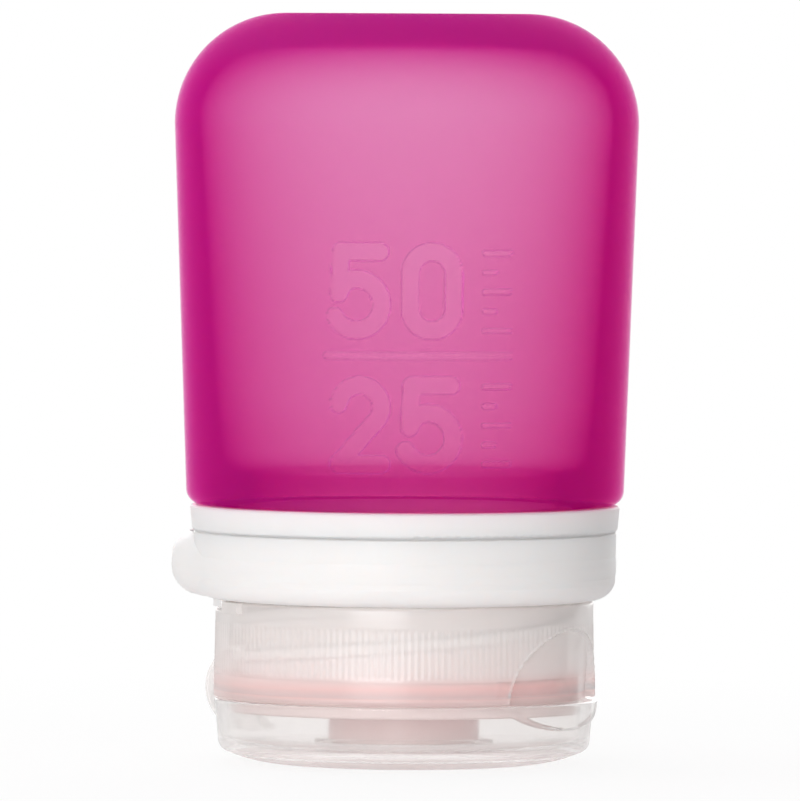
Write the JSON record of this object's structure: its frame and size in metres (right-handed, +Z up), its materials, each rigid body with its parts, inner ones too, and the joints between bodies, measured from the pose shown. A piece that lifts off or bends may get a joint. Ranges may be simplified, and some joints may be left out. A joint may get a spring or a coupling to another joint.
{
  "type": "travel squeeze bottle",
  "caption": "Silicone squeeze bottle standing on a translucent flip-top screw cap, with a slit valve, a white collar and a turning ring with a hanging loop.",
  "frame": {"origin": "centre of the lid's outer face, which the bottle stands on", "axes": "+Z up along the bottle's axis, from the lid to the bottle's base; -Y is the front, with the marks; the loop points to -X and +Y"},
  "size_m": [0.0466, 0.0462, 0.0747],
  "materials": {
    "body_silicone": "satin, translucent magenta silicone rubber",
    "white_plastic": "smooth white polypropylene",
    "natural_plastic": "smooth, milky translucent polypropylene",
    "seal_silicone": "soft coral silicone rubber"
  },
  "bodies": {
    "cap": {"cap_base": "natural_plastic", "drip_valve": "seal_silicone", "valve_retainer": "natural_plastic", "hinge_film": "natural_plastic", "hinge_straps": "natural_plastic"},
    "lid": {"flip_lid": "natural_plastic"},
    "loop": {"loop_ring": "white_plastic"},
    "seal": {"mouth_gasket": "seal_silicone"},
    "bottle": {"silicone_body": "body_silicone", "neck_insert": "white_plastic", "collar_ring": "white_plastic"}
  },
  "joints": [
    {"name": "lid_flip", "type": "hinge", "parent": "cap", "child": "lid", "pos_m": [-0.01722, 0.00915, 0.0066], "axis": [0.4695, 0.8829, 0], "range_deg": [0, 180], "deforming": ["hinge_straps"]},
    {"name": "loop_turn", "type": "hinge", "parent": "cap", "child": "loop", "pos_m": [0, 0, 0.0195], "axis": [0, 0, 1], "range_deg": [-60, 0]},
    {"name": "bottle_turn", "type": "hinge", "parent": "cap", "child": "seal", "pos_m": [0, 0, 0.0086], "axis": [0, 0, 1], "range_deg": [0, 720]},
    {"name": "bottle_lift", "type": "slide", "parent": "seal", "child": "bottle", "axis": [0, 0, 1], "range_m": [0, 0.016]}
  ],
  "couplings": [
    {"joint": "bottle_lift", "follows": "bottle_turn", "m_per_rad": 0.0012732}
  ]
}
